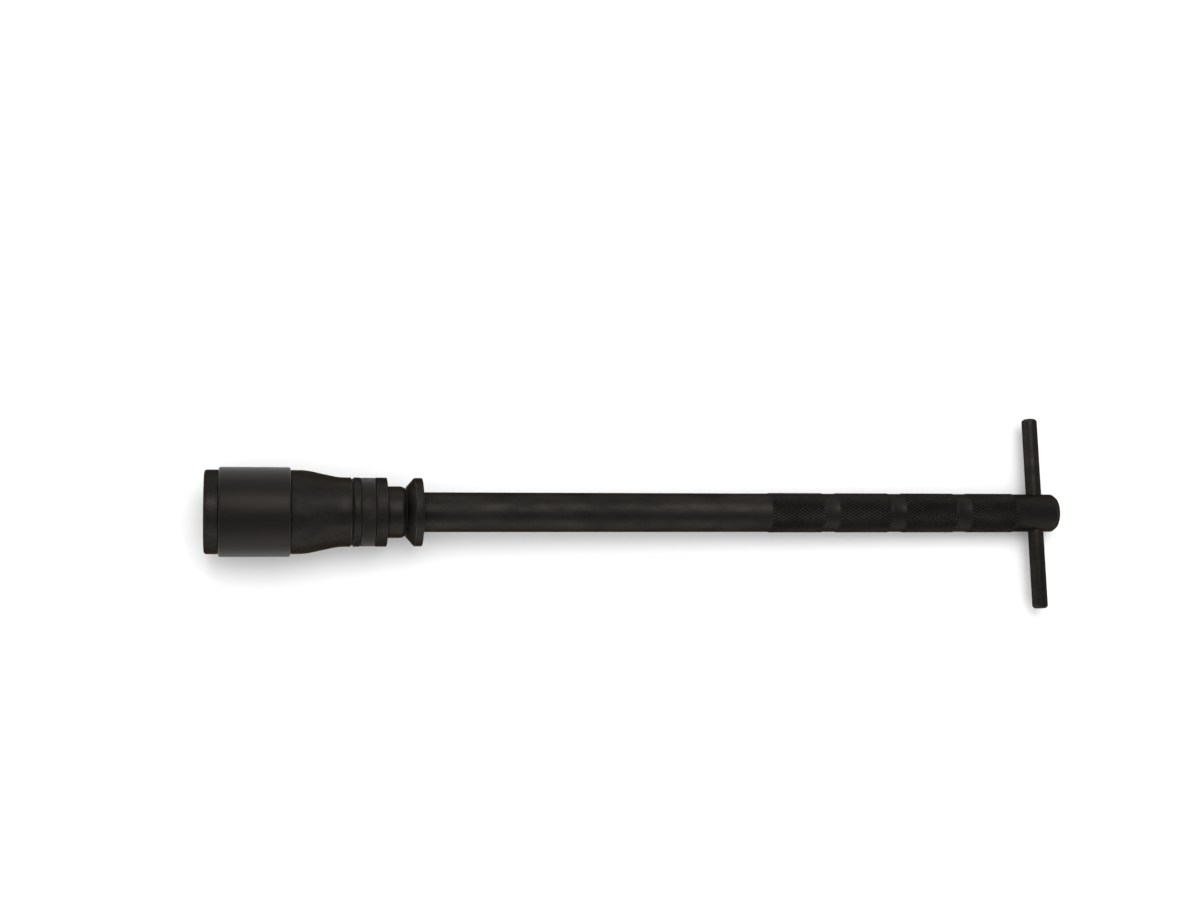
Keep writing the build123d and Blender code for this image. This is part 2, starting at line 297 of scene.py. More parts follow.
def round_ring(piece, corner, radius, segments=4):
    """Rounds the ring of edges that one corner of the outline has drawn."""
    station, corner_radius = corner
    near = 0.02 * mm

    def on_ring(place):
        return math.hypot(place.x - station, math.hypot(place.y, place.z) - corner_radius) < near

    select_vertices(piece, on_ring)
    bpy.ops.mesh.select_mode(type="EDGE")
    bpy.ops.mesh.bevel(offset=radius, segments=segments, affect="EDGES")
    bpy.ops.mesh.select_all(action="DESELECT")


def place(piece, location, turn=0):
    """Leaves edit mode, moves the piece to its place and keeps that place in its mesh."""
    bpy.ops.object.mode_set(mode="OBJECT")
    select_only(piece)
    piece.location = location
    piece.rotation_euler = (0, 0, turn)
    bpy.ops.object.transform_apply(location=True, rotation=True, scale=True)


def shade(piece, angle=30):
    select_only(piece)
    bpy.ops.object.shade_smooth_by_angle(angle=math.radians(angle))


def bore_cutter(radius, length, station, turn):
    """Cylinder across the tool's axis, for cutting a bore: turned a quarter about X, it lies level."""
    bpy.ops.object.select_all(action="DESELECT")
    bpy.ops.mesh.primitive_cylinder_add(
        vertices=thin_sides,
        radius=radius,
        depth=length,
        location=(station, 0, axis_height),
        rotation=(turn, 0, 0),
    )
    return bpy.context.object


def cut(piece, cutter):
    """Takes the cutter's shape out of the piece and removes the cutter."""
    boolean = piece.modifiers.new("cut", "BOOLEAN")
    boolean.operation = "DIFFERENCE"
    boolean.solver = "EXACT"
    boolean.object = cutter
    select_only(piece)
    bpy.ops.object.modifier_apply(modifier=boolean.name)
    bpy.data.objects.remove(cutter)


def clean_faces(piece):
    """Splits the piece's faces into sound triangles, with no slivers and no doubled vertices."""
    bpy.ops.object.mode_set(mode="EDIT")
    bpy.ops.mesh.select_all(action="SELECT")
    bpy.ops.mesh.remove_doubles(threshold=merge_distance)
    bpy.ops.mesh.dissolve_degenerate(threshold=merge_distance)
    bpy.ops.mesh.quads_convert_to_tris(quad_method="BEAUTY", ngon_method="BEAUTY")
    bpy.ops.object.mode_set(mode="OBJECT")


def tube(name, node, wall, material, rounding, segments):
    """Plain tube as long and wide as a node's box, with its outer edges rounded."""
    low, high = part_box(node)
    outer = (high[2] - low[2]) / 2
    inner = outer - wall
    outline = [(low[0], inner), (low[0], outer), (high[0], outer), (high[0], inner)]
    piece = lathe(name, outline, ring=True)
    finish_piece(piece, material)
    for corner in outline[1:3]:
        round_ring(piece, corner, rounding, segments)
    place(piece, (0, 0, axis_height))
    shade(piece)
    return piece


# Finishes


def start_material(name, colour, metallic, roughness):
    """New material with plain values on its shader, and that shader."""
    material = bpy.data.materials.new(name)
    material.use_nodes = True
    shader = material.node_tree.nodes["Principled BSDF"]
    shader.inputs["Base Color"].default_value = (*colour, 1)
    shader.inputs["Metallic"].default_value = metallic
    shader.inputs["Roughness"].default_value = roughness
    return material, shader


def add(material, kind, **sockets):
    """Adds a node and sets or links its input sockets, named with underscores for spaces."""
    tree = material.node_tree
    node = tree.nodes.new(kind)
    for name, value in sockets.items():
        socket = node.inputs[int(name[1:])] if name[1:].isdigit() else node.inputs[name.replace("_", " ")]
        if isinstance(value, bpy.types.NodeSocket):
            tree.links.new(value, socket)
        else:
            socket.default_value = value
    return node


def stretched(material, scale):
    """Object coordinates, stretched so that a pattern is drawn out along some of the axes."""
    coordinates = add(material, "ShaderNodeTexCoord").outputs["Object"]
    return add(material, "ShaderNodeMapping", Vector=coordinates, Scale=scale).outputs["Vector"]


def noise(material, scale, detail=3, stretch=(1, 1, 1), roughness=0.5):
    """Noise with that many features per metre."""
    vector = stretched(material, stretch)
    node = add(
        material, "ShaderNodeTexNoise",
        Vector=vector, Scale=scale, Detail=detail, Roughness=roughness,
    )
    return node.outputs["Fac"]


def ramp(material, value, low, high, low_result=0.0, high_result=1.0):
    """Straight line from one range to another, held at its ends."""
    node = add(
        material, "ShaderNodeMapRange", Value=value,
        From_Min=low, From_Max=high, To_Min=low_result, To_Max=high_result,
    )
    return node.outputs["Result"]


def math_node(material, operation, first, second):
    node = add(material, "ShaderNodeMath", _0=first, _1=second)
    node.operation = operation
    return node.outputs["Value"]


def mix(material, factor, first, second):
    """Mixes two colours, given as sockets or as three numbers."""
    node = material.node_tree.nodes.new("ShaderNodeMix")
    node.data_type = "RGBA"
    for socket, value in zip((node.inputs[0], node.inputs[6], node.inputs[7]), (factor, first, second)):
        if isinstance(value, bpy.types.NodeSocket):
            material.node_tree.links.new(value, socket)
        else:
            socket.default_value = value if isinstance(value, float) else (*value, 1)
    return node.outputs[2]


def connect(material, shader, **inputs):
    for name, socket in inputs.items():
        material.node_tree.links.new(socket, shader.inputs[name.replace("_", " ")])


def bump(material, height, distance, strength=1.0):
    node = add(material, "ShaderNodeBump", Strength=strength, Distance=distance, Height=height)
    return node.outputs["Normal"]


def turned_height(material):
    """Fine rings left by turning, with the grain of the oxide over them."""
    rings = noise(material, 1, detail=4, stretch=(2600, 20, 20))
    grain = noise(material, 2800, detail=2)
    return math_node(material, "ADD", rings, math_node(material, "MULTIPLY", grain, 0.6))


def distance_from_axis(material):
    """How far a point is from the tool's axis."""
    centre = add(
        material, "ShaderNodeMapping",
        Vector=add(material, "ShaderNodeTexCoord").outputs["Object"],
        Location=(0, 0, -axis_height), Scale=(0, 1, 1),
    )
    length = material.node_tree.nodes.new("ShaderNodeVectorMath")
    length.operation = "LENGTH"
    material.node_tree.links.new(centre.outputs["Vector"], length.inputs[0])
    return length.outputs["Value"]


def on_band(material, sizes):
    """1 on the knurled bands and 0 on the rest of the bar."""
    coordinates = add(material, "ShaderNodeTexCoord").outputs["Object"]
    station = add(material, "ShaderNodeSeparateXYZ", Vector=coordinates).outputs["X"]
    first = knurl_bands(sizes)[0][0]
    phase = math_node(material, "SUBTRACT", station, first)
    phase = math_node(material, "MODULO", phase, sizes.band_pitch)
    inside = math_node(material, "LESS_THAN", phase, sizes.band_length)
    after_start = math_node(material, "GREATER_THAN", station, first)
    before_end = math_node(material, "LESS_THAN", station, t_bar_station - sizes.grip_to_t_bar)
    on_grip = math_node(material, "MULTIPLY", after_start, before_end)
    return math_node(material, "MULTIPLY", inside, on_grip)


def oxide_colour(material, finishes):
    """Warm near-black, mottled in soft patches and fine specks."""
    patches = noise(material, 90, detail=4, stretch=(0.5, 1, 1))
    specks = noise(material, 1500, detail=2)
    mottle = math_node(material, "ADD", patches, math_node(material, "MULTIPLY", specks, 0.5))
    lightness = ramp(material, mottle, 0.45, 1.05)
    return mix(material, lightness, finishes.oxide_dark[:], finishes.oxide_light[:])


def black_oxide(name, finishes, roughness=0.5):
    """Satin black oxide on turned steel."""
    material, shader = start_material(name, finishes.oxide_light, 1.0, roughness)
    shader.inputs["Specular Tint"].default_value = (0.42, 0.4, 0.38, 1)
    smears = noise(material, 220, detail=4, stretch=(0.4, 1, 1))
    connect(
        material, shader,
        Base_Color=oxide_colour(material, finishes),
        Roughness=ramp(material, smears, 0.3, 0.7, roughness - 0.07, roughness + 0.1),
        Normal=bump(material, turned_height(material), 0.004 * mm),
    )
    return material


def knurled_oxide(name, finishes, sizes):
    """Black oxide that has rubbed through on the tips of the knurl, with painted shade darkening the
    knurl's valleys.
    """
    material, shader = start_material(name, finishes.oxide_light, 1.0, 0.5)
    shader.inputs["Specular Tint"].default_value = (0.42, 0.4, 0.38, 1)
    crest = sizes.knurl_crest / 2
    valley = crest - sizes.knurl_depth
    tips = ramp(material, distance_from_axis(material), crest - 0.17 * mm, crest - 0.05 * mm)
    rubbed = ramp(material, noise(material, 350, detail=4), 0.42, 0.7, 0.0, 0.4)
    wear = math_node(material, "MULTIPLY", tips, rubbed)
    # painted shade: the deeper a point lies in the knurl's valleys, the closer it is mixed towards
    # near-black
    painted_valley_shade = ramp(material, distance_from_axis(material), valley, crest - 0.2 * mm, 0.65, 0.0)
    painted_valley_shade_on_band = math_node(material, "MULTIPLY", painted_valley_shade, on_band(material, sizes))
    oxide = mix(material, painted_valley_shade_on_band, oxide_colour(material, finishes), (0.004, 0.004, 0.004))
    smears = noise(material, 220, detail=4, stretch=(0.4, 1, 1))
    connect(
        material, shader,
        Base_Color=mix(material, wear, oxide, finishes.bare_steel[:]),
        Roughness=ramp(material, smears, 0.3, 0.7, 0.44, 0.6),
        Normal=bump(material, turned_height(material), 0.004 * mm),
    )
    return material


def worn_edge(name, finishes):
    """Edge where the oxide is rubbed through in places."""
    material, shader = start_material(name, finishes.oxide_light, 1.0, 0.36)
    shader.inputs["Specular Tint"].default_value = (0.4, 0.39, 0.38, 1)
    rubbed = ramp(material, noise(material, 260, detail=5), 0.42, 0.7, 0.0, 0.55)
    connect(
        material, shader,
        Base_Color=mix(material, rubbed, oxide_colour(material, finishes), finishes.bare_steel[:]),
        Roughness=ramp(material, noise(material, 900), 0.3, 0.7, 0.28, 0.45),
        Normal=bump(material, noise(material, 2800, detail=2), 0.003 * mm),
    )
    return material


def groove_grime(name):
    """Near-black, dull oil and dust in the grooves, which also serves as painted shade for the grooves'
    shadowed hollows.
    """
    material, shader = start_material(name, (0.003, 0.003, 0.0028), 0.0, 0.75)
    shader.inputs["Specular IOR Level"].default_value = 0.15
    # near-black colours: dirt in the grooves, and painted shade of their hollows
    oil, dust = (0.002, 0.002, 0.0018), (0.008, 0.0072, 0.0064)
    clots = noise(material, 700, detail=4)
    connect(
        material, shader,
        Base_Color=mix(material, ramp(material, clots, 0.4, 0.8), oil, dust),
        Roughness=ramp(material, clots, 0.3, 0.7, 0.65, 0.85),
        Normal=bump(material, clots, 0.02 * mm),
    )
    return material


def moulded_plastic(name, finishes):
    """Matte plastic with a fine spark-eroded grain and faint rub marks along it."""
    material, shader = start_material(name, finishes.plastic, 0.0, 0.42)
    shader.inputs["Specular IOR Level"].default_value = 0.2
    shader.inputs["Specular Tint"].default_value = (1, 0.9, 0.82, 1)
    rubs = noise(material, 60, detail=6, stretch=(0.25, 3, 3), roughness=0.65)
    lighter = tuple(channel * 1.7 for channel in finishes.plastic)
    connect(
        material, shader,
        Base_Color=mix(material, ramp(material, rubs, 0.4, 0.75), finishes.plastic[:], lighter),
        Roughness=ramp(material, rubs, 0.3, 0.75, 0.46, 0.36),
        Normal=bump(material, noise(material, 2200, detail=3), 0.012 * mm),
    )
    return material


def moulded_rubber(name, finishes):
    """Dull rubber with dust in its pores."""
    material, shader = start_material(name, finishes.rubber, 0.0, 0.5)
    shader.inputs["Specular IOR Level"].default_value = 0.2
    shader.inputs["Specular Tint"].default_value = (1, 0.88, 0.8, 1)
    dust = tuple(channel * 2.5 for channel in finishes.rubber)
    dusty = ramp(material, noise(material, 180, detail=5), 0.45, 0.8)
    connect(
        material, shader,
        Base_Color=mix(material, dusty, finishes.rubber[:], dust),
        Roughness=ramp(material, noise(material, 400), 0.3, 0.7, 0.46, 0.58),
        Normal=bump(material, noise(material, 1800, detail=2), 0.01 * mm),
    )
    return material


def plain_steel(name, colour, roughness, stretch=(1, 1, 1)):
    """Ground, drawn or phosphated steel, with fine scratches drawn out along the stretch."""
    material, shader = start_material(name, colour, 1.0, roughness)
    scratches = noise(material, 1200, detail=5, stretch=stretch)
    darker = tuple(channel * 0.7 for channel in colour)
    cloud = ramp(material, noise(material, 300, detail=4), 0.3, 0.7)
    connect(
        material, shader,
        Base_Color=mix(material, cloud, darker, colour[:]),
        Roughness=ramp(material, scratches, 0.3, 0.7, roughness * 0.8, roughness * 1.25),
        Normal=bump(material, scratches, 0.003 * mm),
    )
    return material


def shared(name, make, *values):
    """The material of that name, which is made the first time it is asked for."""
    return bpy.data.materials.get(name) or make(name, *values)


def drawn_wire(finishes):
    """Steel wire of both springs."""
    return shared("spring_wire", plain_steel, finishes.spring_steel, 0.35)


def finish_piece(piece, *materials):
    piece.data.materials.clear()
    for material in materials:
        piece.data.materials.append(material)


groove_margin = 0.1 * mm  # slack in telling a groove's faces from those around it


def darken_groove_with_grime_and_shade(piece, low, high, radius):
    """Gives a groove's faces, between two stations and inside a radius, the piece's third material: grime
    plus painted shade that darkens the groove.
    """
    bpy.ops.object.mode_set(mode="OBJECT")
    for face in piece.data.polygons:
        if low < face.center.x < high and math.hypot(face.center.y, face.center.z) < radius:
            face.material_index = 2


# Pieces


def knurl_column(place, sizes):
    """Which of the bar's columns of vertices a point is in."""
    return round(math.atan2(place.z, place.y) / math.pi * sizes.diamonds_round)


def half_diamond(sizes):
    """Length along the bar from one ring of the knurl's vertices to the next."""
    return sizes.band_length / (2 * sizes.diamonds_along)


def knurl_bands(sizes):
    """Start of each knurled band, and its length in half diamonds."""
    full = 2 * sizes.diamonds_along
    short = full - 2 * sizes.last_band_shorter
    last_start = t_bar_station - sizes.grip_to_t_bar - short * half_diamond(sizes)
    starts = [last_start - i * sizes.band_pitch for i in reversed(range(sizes.bands))]
    return [(start, full) for start in starts[:-1]] + [(last_start, short)]


def knurl_row(place, start, rows, sizes):
    """Which ring of a knurled band a point is on, or None outside the band's inner rings."""
    row = round((place.x - start) / half_diamond(sizes))
    return row if 0 < row < rows else None


def press_knurl(piece, sizes):
    """Pushes alternate vertices of the bands out and in to make diamonds, and cuts their tips flat."""
    crest = sizes.knurl_crest / 2
    valley = crest - sizes.knurl_depth
    middle = (crest + valley) / 2
    bands = knurl_bands(sizes)

    def on_knurl(place, parity=None):
        for start, rows in bands:
            row = knurl_row(place, start, rows, sizes)
            if row is not None:
                return parity is None or (row + knurl_column(place, sizes)) % 2 == parity
        return False

    for parity, radius in ((0, crest), (1, valley)):
        select_vertices(piece, lambda place: on_knurl(place, parity))
        growth = radius / middle
        bpy.ops.transform.resize(value=(1, growth, growth), center_override=(0, 0, 0))
    select_vertices(piece, on_knurl)
    bpy.ops.mesh.select_more()
    bpy.ops.mesh.quads_convert_to_tris(quad_method="SHORTEST_DIAGONAL")
    select_vertices(piece, lambda place: on_knurl(place, 0))
    bpy.ops.mesh.bevel(offset=sizes.tip_flat, affect="VERTICES")


class BREAKERBAR_OT_shank(bpy.types.Operator):
    """Model the bar's shank, with its knurled grip, chamfered end and bores"""

    bl_idname = "breakerbar.shank"
    bl_label = "Shank and grip"

    def execute(self, context):
        sizes = context.scene.bar_sizes
        finishes = context.scene.finishes
        shank = sizes.shank / 2
        guide = sizes.guide / 2
        middle = sizes.knurl_crest / 2 - sizes.knurl_depth / 2
        end_bore = sizes.end_bore / 2
        friction_bore = sizes.friction_bore / 2
        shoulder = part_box("collar")[1][0] + sizes.shoulder_gap
        screw_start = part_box("end_screw")[0][0]
        row = half_diamond(sizes)
        outline = [
            (shoulder - sizes.seam, guide),
            (shoulder, guide),
            (shoulder, shank - sizes.shoulder_chamfer),
            (shoulder + sizes.shoulder_chamfer, shank),
        ]
        for start, rows in knurl_bands(sizes):
            outline.append((start - sizes.run_out, shank))
            outline += [(start + i * row, middle) for i in range(rows + 1)]
            outline.append((start + rows * row + sizes.run_out, shank))
        outline += [
            (bar_end - sizes.end_chamfer, shank),
            (bar_end, shank - sizes.end_chamfer_depth),
            (bar_end, end_bore + sizes.end_bore_chamfer),
            (bar_end - sizes.end_bore_chamfer, end_bore),
            (screw_start, end_bore),
            (screw_start, friction_bore),
            (t_bar_station, friction_bore),
        ]
        piece = lathe("bar_shank", outline, 2 * sizes.diamonds_round)
        finish_piece(
            piece,
            knurled_oxide("bar_oxide", finishes, sizes),
            shared("worn_edge", worn_edge, finishes),
        )
        break_edges(sizes.edge)
        press_knurl(piece, sizes)
        place(piece, (0, 0, axis_height))
        cut(piece, bore_cutter(sizes.t_bore / 2, 2 * sizes.shank, t_bar_station, math.pi / 2))
        shade(piece, 24)
        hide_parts("bar")
        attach(piece, "tool")
        return {"FINISHED"}


class BREAKERBAR_OT_drive(bpy.types.Operator):
    """Model the bar's front end, with its square drive, from the bar's solid"""

    bl_idname = "breakerbar.drive"
    bl_label = "Square drive"

    def execute(self, context):
        sizes = context.scene.bar_sizes
        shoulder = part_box("collar")[1][0] + sizes.shoulder_gap
        solid = frame["nodes"]["bar"]
        piece = bpy.data.objects.new("bar_drive", solid.data.copy())
        context.collection.objects.link(piece)
        piece.data.transform(solid.matrix_world)
        select_only(piece)
        bpy.ops.object.mode_set(mode="EDIT")
        bpy.ops.mesh.select_all(action="SELECT")
        bpy.ops.mesh.remove_doubles(threshold=merge_distance)
        bpy.ops.mesh.bisect(
            plane_co=(shoulder - sizes.seam, 0, 0),
            plane_no=(1, 0, 0),
            use_fill=True,
            clear_outer=True,
            threshold=merge_distance,
        )
        bpy.ops.object.mode_set(mode="OBJECT")
        finish_piece(piece, black_oxide("drive_oxide", context.scene.finishes))
        shade(piece)
        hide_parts("bar")
        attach(piece, "tool")
        return {"FINISHED"}


class BREAKERBAR_OT_t_bar(bpy.types.Operator):
    """Model the T-bar that slides through the bar's end"""

    bl_idname = "breakerbar.t_bar"
    bl_label = "T-bar"

    def execute(self, context):
        sizes = context.scene.bar_sizes
        finishes = context.scene.finishes
        half = sizes.t_bar_length / 2
        radius = sizes.t_bar / 2
        chamfer = sizes.t_bar_chamfer
        outline = [
            (-half, radius - chamfer),
            (-half + chamfer, radius),
            (half - chamfer, radius),
            (half, radius - chamfer),
        ]
        piece = lathe("t_bar_rod", outline, thin_sides)
        finish_piece(
            piece,
            black_oxide("t_bar_oxide", finishes, 0.48),
            shared("worn_edge", worn_edge, finishes),
        )
        break_edges(sizes.edge)
        place(piece, (t_bar_station, 0, axis_height), math.pi / 2)
        shade(piece)
        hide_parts("t_bar")
        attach(piece, "t_bar")
        return {"FINISHED"}


def hexagon_cutter(sizes):
    """Hexagonal prism with two level flats and eased corners."""
    bpy.ops.object.select_all(action="DESELECT")
    depth = sizes.hexagon_depth + 2 * cut_clearance
    bpy.ops.mesh.primitive_cylinder_add(
        vertices=6,
        radius=sizes.hexagon / math.sqrt(3),
        depth=depth,
        location=(mouth + sizes.hexagon_depth - depth / 2, 0, axis_height),
        rotation=(0, math.pi / 2, 0),
    )
    cutter = bpy.context.object
    bpy.ops.object.transform_apply(location=True, rotation=True, scale=True)
    bpy.ops.object.mode_set(mode="EDIT")
    bpy.ops.mesh.select_all(action="SELECT")
    bpy.ops.transform.rotate(
        value=math.radians(30), orient_axis="X", center_override=(mouth, 0, axis_height)
    )
    bpy.ops.object.mode_set(mode="OBJECT")
    for edge in cutter.data.edges:
        ends = [cutter.data.vertices[i].co for i in edge.vertices]
        edge.select = abs(ends[0].x - ends[1].x) > depth / 2
    for face in cutter.data.polygons:
        face.select = False
    for vertex in cutter.data.vertices:
        vertex.select = False
    bpy.context.tool_settings.mesh_select_mode = (False, True, False)
    bpy.ops.object.mode_set(mode="EDIT")
    bpy.ops.mesh.bevel(offset=sizes.hexagon_easing, segments=3, affect="EDGES")
    bpy.ops.object.mode_set(mode="OBJECT")
    return cutter


def lead_in_cutter(sizes):
    """Cone that opens the hexagon's mouth."""
    bpy.ops.object.select_all(action="DESELECT")
    corner = sizes.hexagon / math.sqrt(3) + sizes.lead_in
    bottom = sizes.hexagon / 2 - sizes.lead_in
    depth = corner - bottom
    bpy.ops.mesh.primitive_cone_add(
        vertices=96,
        radius1=corner + cut_clearance,
        radius2=bottom,
        depth=depth + cut_clearance,
        location=(mouth + (depth - cut_clearance) / 2, 0, axis_height),
        rotation=(0, math.pi / 2, 0),
    )
    return bpy.context.object


def square_cutter(sizes):
    """Block that cuts the square drive hole."""
    bpy.ops.object.select_all(action="DESELECT")
    low = mouth + sizes.drive_hole_start
    high = socket_back + cut_clearance
    bpy.ops.mesh.primitive_cube_add(
        size=1,
        location=((low + high) / 2, 0, axis_height),
        scale=(high - low, sizes.drive_hole, sizes.drive_hole),
    )
    return bpy.context.object


class BREAKERBAR_OT_socket(bpy.types.Operator):
    """Model the deep socket, with its hexagon, bores, taper and turned grooves"""

    bl_idname = "breakerbar.socket"
    bl_label = "Socket"

    def execute(self, context):
        sizes = context.scene.socket_sizes
        finishes = context.scene.finishes
        body = sizes.body / 2
        back = sizes.back / 2
        recess = sizes.recess / 2
        line_bottom = back - sizes.line_depth
        groove_bottom = back - sizes.ring_groove_depth
        recess_start = mouth + sizes.recess_start
        recess_end = recess_start + sizes.recess_length
        taper_start = mouth + sizes.body_length
        taper_end = taper_start + sizes.taper_length
        line_start = mouth + sizes.line
        line_end = line_start + sizes.line_width
        groove_start = mouth + sizes.ring_groove
        groove_end = groove_start + sizes.ring_groove_width
        web = mouth + sizes.web
        outline = [
            (mouth, sizes.stud_bore / 2), (mouth, body),
            (recess_start, body), (recess_start, recess), (recess_end, recess), (recess_end, body),
            (taper_start, body), (taper_end, back),
            (line_start, back), (line_start + sizes.line_slope, line_bottom),
            (line_end - sizes.line_slope / 2, line_bottom), (line_end, back),
            (groove_start, back), (groove_start, groove_bottom),
            (groove_end, groove_bottom), (groove_end, back),
            (socket_back, back), (socket_back, sizes.web_hole / 2),
            (web, sizes.web_hole / 2), (web, sizes.stud_bore / 2),
        ]
        piece = lathe("socket_body", outline, ring=True)
        finish_piece(
            piece,
            black_oxide("socket_oxide", finishes),
            shared("worn_edge", worn_edge, finishes),
            shared("groove_grime", groove_grime),
        )
        round_ring(piece, (mouth, body), sizes.mouth_rounding)
        round_ring(piece, (taper_start, body), sizes.taper_rounding)
        round_ring(piece, (taper_end, back), sizes.taper_rounding)
        break_edges(sizes.edge)
        # the recess and the grooves get painted shade and grime, nearly black
        darken_groove_with_grime_and_shade(piece, recess_start, recess_end, body - groove_margin)
        darken_groove_with_grime_and_shade(piece, line_start, line_end, back - groove_margin)
        darken_groove_with_grime_and_shade(piece, groove_start, groove_end, back - groove_margin)
        place(piece, (0, 0, axis_height))
        cut(piece, hexagon_cutter(sizes))
        cut(piece, lead_in_cutter(sizes))
        cut(piece, square_cutter(sizes))
        # The ball's hole opens into the ring's groove.
        hole_length = sizes.back - sizes.ring_groove_depth
        cut(piece, bore_cutter(sizes.ball_hole / 2, hole_length, box_centre("locking_ball", 0), 0))
        clean_faces(piece)
        shade(piece)
        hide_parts("socket")
        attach(piece, "tool")
        return {"FINISHED"}


class BREAKERBAR_OT_sleeve(bpy.types.Operator):
    """Model the plastic sleeve that turns on the socket"""

    bl_idname = "breakerbar.sleeve"
    bl_label = "Protective sleeve"

    def execute(self, context):
        sizes = context.scene.socket_sizes
        plastic = moulded_plastic("sleeve_plastic", context.scene.finishes)
        wall, rounding = sizes.sleeve_wall, sizes.sleeve_rounding
        piece = tube("sleeve_tube", "protective_sleeve", wall, plastic, rounding, segments=5)
        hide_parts("protective_sleeve")
        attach(piece, "sleeve")
        return {"FINISHED"}


class BREAKERBAR_OT_ring(bpy.types.Operator):
    """Model the wide rubber ring in the socket's back end"""

    bl_idname = "breakerbar.ring"
    bl_label = "Rubber ring"

    def execute(self, context):
        sizes = context.scene.socket_sizes
        rubber = moulded_rubber("ring_rubber", context.scene.finishes)
        wall, rounding = sizes.ring_wall, sizes.ring_rounding
        piece = tube("rubber_band", "rubber_ring", wall, rubber, rounding, segments=3)
        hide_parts("rubber_ring")
        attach(piece, "tool")
        return {"FINISHED"}


class BREAKERBAR_OT_collar(bpy.types.Operator):
    """Model the pull-back collar, with its neck, groove, cone and rim"""

    bl_idname = "breakerbar.collar"
    bl_label = "Collar"

    def execute(self, context):
        sizes = context.scene.collar_sizes
        finishes = context.scene.finishes
        front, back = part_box("collar")[0][0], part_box("collar")[1][0]
        neck = sizes.neck / 2
        groove = sizes.groove / 2
        rim = sizes.rim / 2
        front_bore = sizes.front_bore / 2
        wall_bore = sizes.wall_bore / 2
        rear_bore = sizes.rear_bore / 2
        neck_end = front + sizes.neck_length
        round_start = neck_end - 2 * sizes.neck_rounding
        cone_start = neck_end + sizes.groove_width
        rim_start = cone_start + sizes.cone_length
        wall_front = front + sizes.wall
        wall_back = wall_front + sizes.wall_thickness
        outline = [
            (front, front_bore), (front, neck), (round_start, neck),
            (neck_end, neck - sizes.neck_rounding), (neck_end, groove),
            (cone_start, groove), (cone_start, sizes.cone / 2),
            (rim_start, rim - sizes.rim_chamfer), (rim_start + sizes.rim_chamfer, rim), (back, rim),
            (back, rear_bore), (wall_back, rear_bore), (wall_back, wall_bore),
            (wall_front, wall_bore), (wall_front, front_bore),
        ]
        piece = lathe("collar_body", outline, ring=True)
        finish_piece(
            piece,
            black_oxide("collar_oxide", finishes, 0.46),
            shared("worn_edge", worn_edge, finishes),
            shared("groove_grime", groove_grime),
        )
        round_ring(piece, (front, neck), sizes.front_rounding)
        round_ring(piece, (round_start, neck), sizes.neck_rounding)
        break_edges(sizes.edge)
        # the groove behind the neck gets painted shade and grime, nearly black
        low, high = neck_end - groove_margin, cone_start + groove_margin
        darken_groove_with_grime_and_shade(piece, low, high, neck - sizes.neck_rounding + groove_margin)
        place(piece, (0, 0, axis_height))
        shade(piece)
        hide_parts("collar")
        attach(piece, "collar")
        return {"FINISHED"}


class BREAKERBAR_OT_spring(bpy.types.Operator):
    """Model the collar's coil spring at one fixed length, though the real one shortens as the collar is
    drawn back
    """

    bl_idname = "breakerbar.spring"
    bl_label = "Collar spring"

    def execute(self, context):
        sizes = context.scene.collar_sizes
        low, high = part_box("collar_spring")
        wire = sizes.spring_wire / 2
        length = high[0] - low[0]
        coil_radius = (high[2] - low[2]) / 2 - wire
        bpy.ops.object.select_all(action="DESELECT")
        bpy.ops.mesh.primitive_circle_add(vertices=16, radius=wire, location=(0, coil_radius, 0))
        piece = context.object
        piece.name = "coil_spring"
        piece.data.name = "coil_spring"
        bpy.ops.object.transform_apply(location=True, rotation=True, scale=True)
        bpy.ops.object.modifier_add(type="SCREW")
        screw = piece.modifiers[0]
        screw.axis = "X"
        screw.iterations = sizes.spring_turns
        screw.screw_offset = (length - sizes.spring_wire) / sizes.spring_turns
        screw.steps = 64
        screw.render_steps = screw.steps
        bpy.ops.object.modifier_apply(modifier=screw.name)
        bpy.ops.object.mode_set(mode="EDIT")
        bpy.ops.mesh.select_all(action="SELECT")
        bpy.ops.mesh.fill_holes(sides=0)
        bpy.ops.mesh.normals_make_consistent(inside=False)
        place(piece, (low[0] + wire, 0, axis_height))
        finish_piece(piece, drawn_wire(context.scene.finishes))
        shade(piece)
        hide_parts("collar_spring")
        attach(piece, "tool")
        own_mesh(piece)
        return {"FINISHED"}


class BREAKERBAR_OT_inner_parts(bpy.types.Operator):
    """Give the friction spring, clips, balls, pin, rod, washer and end screw their finishes"""

    bl_idname = "breakerbar.inner_parts"
    bl_label = "Inner parts"

    def execute(self, context):
        finishes = context.scene.finishes
        ground = plain_steel("ground_steel", finishes.bright_steel, 0.24, (0.3, 1, 1))
        wire = drawn_wire(finishes)
        phosphated = plain_steel("phosphated_steel", finishes.clip_steel, 0.5)
        screw = black_oxide("screw_oxide", finishes, 0.36)
        nodes_by_finish = {
            ground: ("release_rod", "cross_pin", "spring_washer", "locking_ball", "friction_ball"),
            wire: ("friction_spring",),
            phosphated: ("front_clip", "rear_clip"),
            screw: ("end_screw",),
        }
        for material, nodes in nodes_by_finish.items():
            for node in nodes:
                finish_piece(frame["nodes"][node], material)
        return {"FINISHED"}


class BREAKERBAR_OT_stage(bpy.types.Operator):
    """Lay the floor under the tool, light it softly and place the camera above it"""

    bl_idname = "breakerbar.stage"
    bl_label = "Stage"

    def execute(self, context):
        look = context.scene.stage_look
        add_floor(look)
        add_lights(look)
        add_camera(look)
        return {"FINISHED"}


